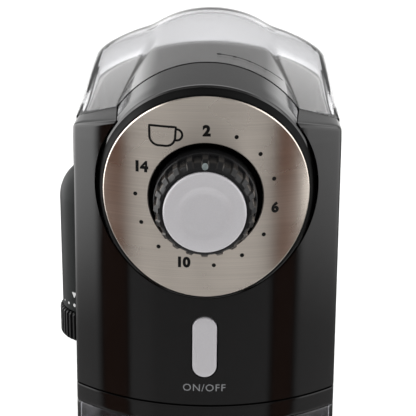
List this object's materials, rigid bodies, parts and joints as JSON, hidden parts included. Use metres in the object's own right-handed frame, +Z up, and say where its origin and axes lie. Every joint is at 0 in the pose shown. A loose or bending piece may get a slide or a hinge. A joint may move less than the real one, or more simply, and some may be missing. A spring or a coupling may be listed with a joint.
{
  "type": "burr coffee grinder",
  "caption": "Upright electric burr coffee grinder: clear domed bean lid, round steel cup dial, on/off button, side thumb wheel for fineness and a slide-out smoky container.",
  "frame": {"origin": "middle of the grinder seen from above (knob and side pod included), at the level of the surface that it stands on", "axes": "+Z up, +X to the right of someone who faces the dial, -Y towards that person"},
  "size_m": [0.1129, 0.165, 0.2543],
  "materials": {
    "casing_black": "glossy black moulded plastic",
    "base_black": "satin black moulded plastic",
    "foot_rubber": "soft black rubber",
    "screw_steel": "machined bright steel",
    "dial_steel": "stainless steel brushed from side to side",
    "chassis_steel": "zinc-plated sheet steel",
    "knob_black": "ribbed black plastic",
    "silver_paint": "silver-grey painted plastic",
    "pointer_pale": "pale grey-green plastic",
    "pod_grey": "dark grey satin plastic",
    "nylon": "natural nylon",
    "dark_parts": "dark grey moulding",
    "board_green": "green lacquered board",
    "copper": "copper windings and bars",
    "bearing_bronze": "sintered bronze",
    "hopper_grey": "grey moulded plastic",
    "clear_plastic": "clear moulded plastic",
    "smoky_plastic": "smoke-tinted clear plastic"
  },
  "bodies": {
    "housing": {"base_shell": "base_black", "bottom_cover": "base_black", "foot_1": "foot_rubber", "foot_2": "foot_rubber", "foot_3": "foot_rubber", "foot_4": "foot_rubber", "base_screw_1": "screw_steel", "base_screw_2": "screw_steel", "base_screw_3": "screw_steel", "base_screw_4": "screw_steel", "casing_rear": "casing_black", "casing_front": "casing_black", "cord_inlet": "foot_rubber", "dial_drum": "casing_black", "dial_plate": "dial_steel", "dial_potentiometer": "dark_parts", "control_board": "board_green", "board_transformer": "dark_parts", "board_relay": "nylon", "button_switch": "base_black", "pod_cover": "pod_grey", "grind_chamber": "dark_parts", "chute": "dark_parts", "chassis_plate": "chassis_steel", "motor_can": "screw_steel", "motor_end_cap": "base_black", "magnet_left": "dark_parts", "magnet_right": "dark_parts", "lower_bearing": "bearing_bronze", "upper_bearing": "bearing_bronze", "motor_post_1": "foot_rubber", "motor_post_2": "foot_rubber", "motor_post_3": "foot_rubber", "hopper": "hopper_grey", "interlock_switch": "base_black"},
    "bean_lid": {"clear_lid": "clear_plastic"},
    "coffee_container": {"container": "smoky_plastic", "container_lid": "casing_black"},
    "cup_dial": {"knob_grip": "knob_black", "knob_cap": "silver_paint", "knob_pointer": "pointer_pale", "dial_shaft": "nylon"},
    "on_off_button": {"power_button": "silver_paint"},
    "grind_adjuster": {"grind_wheel": "knob_black", "grind_shaft": "screw_steel", "grind_pinion": "nylon"},
    "adjusting_ring": {"ring_gear": "nylon", "upper_burr_holder": "nylon", "upper_burr": "screw_steel"},
    "rotor": {"motor_rotor": "copper", "commutator": "copper", "motor_shaft": "screw_steel", "cooling_fan": "nylon", "burr_carrier": "nylon", "lower_burr": "screw_steel", "burr_screw": "screw_steel"},
    "container_switch_pin": {"interlock_pin": "nylon"}
  },
  "joints": [
    {"name": "lid_lift", "type": "slide", "parent": "housing", "child": "bean_lid", "axis": [0, 0, 1], "range_m": [0, 0.05]},
    {"name": "container_slide", "type": "slide", "parent": "housing", "child": "coffee_container", "axis": [0, -1, 0], "range_m": [0, 0.09]},
    {"name": "dial_turn", "type": "hinge", "parent": "housing", "child": "cup_dial", "pos_m": [0.0047, -0.0664, 0.207], "axis": [0, 1, 0], "range_deg": [0, 300]},
    {"name": "button_press", "type": "slide", "parent": "housing", "child": "on_off_button", "axis": [0, 1, 0], "range_m": [0, 0.002], "stiffness_N_per_m": 800},
    {"name": "wheel_turn", "type": "hinge", "parent": "housing", "child": "grind_adjuster", "pos_m": [-0.0394, -0.0021, 0.13], "axis": [0, 0, 1], "range_deg": [-120, 120]},
    {"name": "ring_turn", "type": "hinge", "parent": "housing", "child": "adjusting_ring", "pos_m": [0.0047, 0.0291, 0.18], "axis": [0, 0, 1], "range_deg": [-29, 29]},
    {"name": "rotor_spin", "type": "hinge", "parent": "housing", "child": "rotor", "pos_m": [0.0047, 0.0291, 0.1], "axis": [0, 0, 1], "continuous": true},
    {"name": "switch_pin_push", "type": "slide", "parent": "housing", "child": "container_switch_pin", "axis": [0, 1, 0], "range_m": [0, 0.001], "stiffness_N_per_m": 500}
  ],
  "couplings": [
    {"joint": "ring_turn", "follows": "wheel_turn", "ratio": -0.24138}
  ]
}
